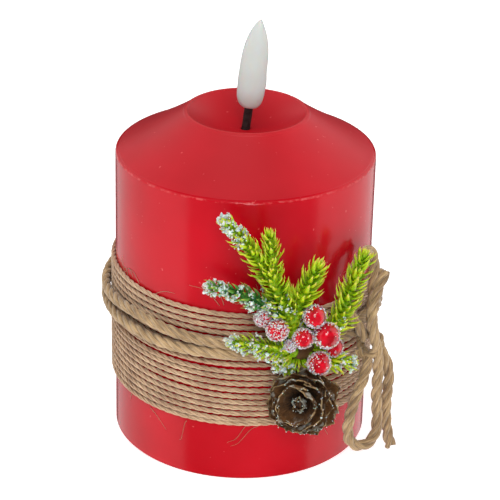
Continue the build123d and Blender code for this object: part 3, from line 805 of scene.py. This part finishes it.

# %% [markdown]
# The cone is a small rose of thin woody scales, seen from its open end. Each scale is a cupped
# fan with a wavy pale lip. They sit in rings: low wide ones at the stalk, then taller and steeper
# ones, up to a cup of six with a bud of small scales deep within. Each scale is painted darker
# towards its root, deep in the cone: painted shade, which darkens the inside of the cup.

# %% Scale finish
scales = Finish("cone_scales", Roughness=0.72)
edge = scales.add("ShaderNodeAttribute", {"attribute_name": "tint"}, output="Fac")
along_scale = scales.add("ShaderNodeAttribute", {"attribute_name": "grain"}, output="Vector")
fibre = scales.noise(1.0, 3.0, scales.stretched(along_scale, (14.0, 2.0, 1.0)))
grain = scales.noise(420.0, 3.0)
# Painted shade: the tint makes each scale darker towards its root, deep inside the cone.
tone = (fibre * 0.7 + grain * 0.5 + edge * 0.35 - 0.3).step(0.2, 0.8)
woody = scales.mix(paint(27, 15, 8), paint(146, 98, 50), tone)
lip = scales.mix(paint(96, 62, 30), paint(206, 172, 118), scales.noise(500.0).step(0.4, 0.6))
woody = scales.mix(woody, lip, (edge + grain * 0.12).step(0.93, 1.08))
dusting = scales.noise(300.0, 4.0).step(0.54, 0.64) * edge.step(0.3, 0.9)
woody = scales.mix(woody, paint(206, 208, 196), dusting * 0.75)
scales.feed(Base_Color=woody, Normal=scales.bump(fibre + grain, 0.9, 0.0006))
print("scale finish nodes", len(scales.tree.nodes))


# %% One scale
ROWS, COLUMNS = 8, 11
SHEET = ROWS * COLUMNS
GRID = [
    (r * COLUMNS + c, r * COLUMNS + c + 1, (r + 1) * COLUMNS + c + 1, (r + 1) * COLUMNS + c)
    for r in range(ROWS - 1)
    for c in range(COLUMNS - 1)
]
RIM = [r * COLUMNS for r in range(ROWS)] + [(ROWS - 1) * COLUMNS + c for c in range(1, COLUMNS)]
RIM += [r * COLUMNS + COLUMNS - 1 for r in range(ROWS - 2, -1, -1)] + list(range(COLUMNS - 2, 0, -1))
SCALE_FACES = GRID + [tuple(SHEET + i for i in reversed(quad)) for quad in GRID]
SCALE_FACES += [(b, a, SHEET + a, SHEET + b) for a, b in zip(RIM, RIM[1:] + RIM[:1])]


def cone_scale(stock, root, out, along, length, width, lift, dice):
    """A cupped fan that leaves the core at its lift and curls up towards the open end."""
    edge_way = np.cross(along, out)
    wave, nick = dice.uniform(0, 6, 2)
    width = width * dice.uniform(0.85, 1.12)
    points, grain, tint = [], [], []
    for face in (0.0, 1.0):
        for share in np.linspace(0, 1, ROWS):
            bend = lift + 0.5 * share
            ahead = math.cos(bend) * out + math.sin(bend) * along
            inward = math.cos(bend) * along - math.sin(bend) * out
            fan = width * (0.4 + 0.6 * math.sin(min(share * 1.25, 1) * math.pi / 2))
            for part in np.linspace(-1, 1, COLUMNS):
                reach = length * share * (1 - 0.24 * part * part * share)
                frayed = 0.05 * math.sin(part * 6 + nick) + 0.035 * math.sin(part * 17 + wave)
                reach += length * share**3 * frayed
                lift_in = part * part * fan * 0.36 + math.sin(part * 4 + wave) * 0.45 * MM * share**3
                lift_in += 0.17 * MM * math.sin(part * 9 + nick) * math.sin(share * 10 + wave)
                thick = face * (0.55 - 0.15 * share) * MM
                points.append(root + ahead * reach + edge_way * part * fan + inward * (lift_in - thick))
                grain.append((part * 2 + wave * 3, share * 2, face * 5))
                tint.append(max(share, share**0.5 * abs(part)))
    stock.add(points, SCALE_FACES, np.array(grain), tint)


# %% The cone
CONE_BASE = np.array([18.8, -38.9, 29.0]) * MM
CONE_TIP = np.array([15.5, -51.2, 31.9]) * MM
axis = unit(CONE_TIP - CONE_BASE)
side = unit(np.cross(axis, (0, 0, 1.0)))
up = np.cross(side, axis)
dice = np.random.default_rng(5)
# how many scales, then in mm: height of their roots, root radius, length, half width; lift in degrees
RINGS = [
    (7, 0.6, 3.0, 6.8, 4.2, -14),
    (8, 1.8, 3.2, 7.8, 4.3, -3),
    (8, 3.4, 3.2, 7.6, 4.0, 9),
    (6, 5.0, 2.9, 7.3, 4.3, 22),
    (6, 6.4, 2.6, 7.0, 3.8, 36),
    (5, 6.4, 0.9, 2.9, 1.5, 50),
]
stock = Stock()
core = CONE_BASE + axis * (np.linspace(0, 8.4, 8) * MM)[:, None]
strand(stock, core, np.array([2.6, 3.4, 3.6, 3.4, 3.1, 2.7, 2.3, 1.2]) * MM, 12)
for ring, (count, height, radius, length, width, lift) in enumerate(RINGS):
    for number in range(count):
        turn = 2 * math.pi * (number + dice.uniform(-0.12, 0.12)) / count + ring * 1.9
        out = math.cos(turn) * side + math.sin(turn) * up
        root = CONE_BASE + (axis * (height + 0.25 * (number % 2)) + out * radius) * MM
        grown = length * dice.uniform(0.86, 1.08) * MM
        tilt = math.radians(lift + dice.uniform(-7, 6))
        cone_scale(stock, root, out, axis, grown, width * MM, tilt, dice)
cone = stock.piece("pine_cone_scales", scales.material)
LIP_TINT = 0.97
lips = np.concatenate(stock.points)[np.concatenate(stock.tint) > LIP_TINT]
stock = Stock()
for place in lips[dice.integers(0, len(lips), 260)]:
    crumb(stock, place + dice.normal(0, 0.15 * MM, 3), dice.uniform(0.08, 0.22) * MM, dice)
cone_snow = stock.piece("pine_cone_snow", snow)
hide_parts("pine_cone")

# %% [markdown]
# The pillar is cast paraffin wax, dyed through. Light goes a little way in before it comes back,
# so the shader scatters under the surface, and the skin has a soft polish. A thin pale line runs
# along the shoulder's edge, part handling scuffs and part painted highlight, the rim's crest is
# painted pale all round as a painted highlight, and there are small specks of wax dust.

# %% Wax finish
wax = Finish("red_wax", Subsurface_Weight=0.03, Subsurface_Scale=0.003, Specular_IOR_Level=0.38)
wax.shader.inputs["Subsurface Radius"].default_value = (1.0, 0.12, 0.08)
cloud = wax.noise(28.0, 3.0)
body_red = wax.mix(paint(180, 1, 20), paint(196, 4, 27), cloud.step(0.35, 0.65))
height = wax.add("ShaderNodeSeparateXYZ", {}, {"Vector": wax.place()}, output="Z")
# Painted highlight: a thin band at the shoulder's edge takes patchy pale scuffs, partly wear and partly
# painted highlight, and the rim's crest is painted pale all round as a painted highlight.
edge_band = height.step(0.0874, 0.0876) * (1 - height.step(0.0879, 0.0881))
rim_painted_highlight = height.step(0.0999, 0.1002)
scuff_and_painted_highlight = wax.noise(620.0, 4.0).step(0.42, 0.66) * edge_band + rim_painted_highlight * 0.9
dust = wax.noise(640.0, 2.0).step(0.72, 0.765)
body_red = wax.mix(body_red, paint(226, 112, 110), scuff_and_painted_highlight * 0.4 + dust * 0.5)
skin = wax.noise(60.0, 4.0)
wax.feed(
    Base_Color=body_red,
    Roughness=0.15 + skin * 0.1 + height.step(0.0881, 0.0886) * 0.2,
    Normal=wax.bump(skin + wax.noise(14.0, 2.0) * 2, 0.1, 0.0006),
)
print("wax finish nodes", len(wax.tree.nodes))

# %% [markdown]
# The flame is a milky plastic shell over the lamp. Unlit, it looks white, and its colour is painted
# a touch darker and greener towards its foot: painted shade, tinted against the red light of the bowl.

# %% Flame finish
flame = Finish("flame_plastic", Roughness=0.4, Subsurface_Weight=0.35, Subsurface_Scale=0.002)
flame_low, flame_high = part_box("flame_tip")
height = flame.add("ShaderNodeSeparateXYZ", {}, {"Vector": flame.place()}, output="Z")
share = (height - flame_low.z) * (1 / (flame_high.z - flame_low.z))
# Painted shade: darker and greener at the foot, against the red light that the bowl throws on it.
milk_with_painted_foot_shade = flame.mix(paint(190, 194, 190), paint(196, 200, 196), share.step(0.0, 0.6))
flame.feed(Base_Color=milk_with_painted_foot_shade, Normal=flame.bump(flame.noise(220.0, 3.0), 0.12, 0.0004))
print("flame, mm", round(flame_low.z / MM, 1), "to", round(flame_high.z / MM, 1))


# %% [markdown]
# The rest is the housing that the pillar hides: ivory plastic, two cells, plated contacts, a
# small board and its wires. Each finish is short, and still has the grain of its own process.

# %% Finishes for the housing
def moulded(name, dark, light, roughness, grain_scale=1500.0, **constants):
    """Plastic, foil or metal with a fine even texture."""
    finish = Finish(name, **constants)
    grain = finish.noise(grain_scale, 2.0)
    colour = finish.mix(dark, light, grain.step(0.35, 0.65))
    normal = finish.bump(grain, 0.25, 0.0001)
    return finish.feed(Base_Color=colour, Roughness=roughness + grain * 0.12, Normal=normal)


ivory = moulded("ivory_plastic", paint(214, 208, 192), paint(226, 221, 206), 0.45)
metal = moulded("plated_steel", paint(176, 176, 172), paint(206, 206, 202), 0.22, 2600.0, Metallic=1.0)
foil = moulded("cell_foil", paint(36, 42, 50), paint(58, 66, 76), 0.25, 500.0, Metallic=0.5)
FINISHES = {
    "wax_body": wax.material,
    "flame_tip": flame.material,
    "led_lamp": moulded("lamp_resin", paint(236, 226, 190), paint(246, 240, 214), 0.1),
    "wick_stem": moulded("wick_black", paint(10, 10, 10), paint(34, 33, 32), 0.6, 900.0),
    "led_wires": moulded("red_sheath", paint(150, 20, 18), paint(176, 30, 26), 0.4),
    "battery_leads": moulded("dark_sheath", paint(26, 26, 28), paint(44, 44, 46), 0.4),
    "flame_mast": ivory,
    "housing_cup": ivory,
    "base_plate": ivory,
    "battery_door": moulded("door_plastic", paint(208, 202, 186), paint(220, 215, 200), 0.5, 1100.0),
    "battery_1": foil,
    "battery_2": foil,
    "contact_link": metal,
    "contact_negative": metal,
    "contact_positive": metal,
    "housing_screws": metal,
    "switch_body": metal,
    "circuit_board": moulded("board_green", paint(10, 70, 36), paint(20, 92, 48), 0.35, 700.0),
    "board_parts": moulded("chip_black", paint(18, 18, 20), paint(36, 36, 38), 0.5),
    "switch_slider": moulded("slider_black", paint(20, 20, 22), paint(36, 36, 38), 0.45),
    # The glue pad is painted dark brown as painted shade, so it passes for the shadowed gap among the stems
    # and berries.
    "glue_pad": moulded("hot_glue", paint(84, 58, 36), paint(120, 88, 58), 0.25, 300.0),
}
for node, material in FINISHES.items():
    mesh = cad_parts[node].data
    mesh.materials.clear()
    mesh.materials.append(material)
print("finished model nodes", len(FINISHES))

# %% [markdown]
# The studio: a white floor, white surroundings, a broad lamp over the front, and a tall white
# panel each side. A polished upright wall mirrors what lies low beside it, so the floor lets
# mirrored rays through to the panels, and the pillar gets its two long soft highlights. The
# floor is also clear from below, so that the battery door can be looked at.

# %% Floor and surroundings
floor_mesh = bpy.data.meshes.new("floor")
REACH = 3.0
BELOW = -0.1 * MM
floor_corners = [(x * REACH, y * REACH, BELOW) for x, y in ((-1, -1), (1, -1), (1, 1), (-1, 1))]
floor_mesh.from_pydata(floor_corners, [], [(0, 1, 2, 3)])
floor = bpy.data.objects.new("floor", floor_mesh)
bpy.context.scene.collection.objects.link(floor)
ground = Finish("floor_white", Roughness=0.8, Base_Color=(0.9, 0.9, 0.9), Specular_IOR_Level=0.0)
ground.feed(Emission_Color=(1.0, 1.0, 1.0), Emission_Strength=0.7)
see_through = ground.add("ShaderNodeBsdfTransparent")
mirrored = ground.add("ShaderNodeLightPath", output="Is Glossy Ray")
from_below = ground.add("ShaderNodeNewGeometry", output="Backfacing")
hidden = mirrored.math("MAXIMUM", mirrored, from_below)
shown = Signal(ground, ground.shader.outputs[0])
both = ground.add("ShaderNodeMixShader", {}, {0: hidden, 1: shown, 2: see_through})
ground.join(both, ground.tree.nodes["Material Output"].inputs["Surface"])
floor_mesh.materials.append(ground.material)

world = bpy.data.worlds.new("studio")
bpy.context.scene.world = world
world.use_nodes = True
sky = world.node_tree
rays = sky.nodes.new("ShaderNodeLightPath")
strength = sky.nodes.new("ShaderNodeMix")
strength.inputs[2].default_value = 0.4
strength.inputs[3].default_value = 0.05
seen = sky.nodes.new("ShaderNodeMath")
seen.operation = "MAXIMUM"
sky.links.new(rays.outputs["Is Glossy Ray"], strength.inputs[0])
sky.links.new(strength.outputs[0], seen.inputs[0])
sky.links.new(rays.outputs["Is Camera Ray"], seen.inputs[1])
sky.links.new(seen.outputs[0], sky.nodes["Background"].inputs["Strength"])
sky.nodes["Background"].inputs["Color"].default_value = (1, 1, 1, 1)


# %% Lamps
def panel(name, place, target, wide, tall, power):
    lamp = bpy.data.lights.new(name, "AREA")
    lamp.shape = "RECTANGLE"
    lamp.size, lamp.size_y, lamp.energy = wide, tall, power
    holder = bpy.data.objects.new(name, lamp)
    bpy.context.scene.collection.objects.link(holder)
    holder.location = place
    holder.rotation_euler = (Vector(target) - Vector(place)).to_track_quat("-Z", "Y").to_euler()
    return holder


for side_panel in (
    panel("left_panel", (-0.62, 0.42, 0.1), (0, 0.42, 0.1), 1.9, 2.3, 11.0),
    panel("right_panel", (0.62, 0.56, 0.1), (0, 0.56, 0.1), 1.7, 2.3, 11.5),
):
    side_panel.visible_diffuse = False
panel("top_box", (-0.1, -0.2, 0.9), (0, 0, 0.05), 0.7, 0.7, 3.8).visible_glossy = False
panel("front_box", (0.1, -0.9, 0.75), (0, 0, 0.05), 0.5, 0.4, 4.6)
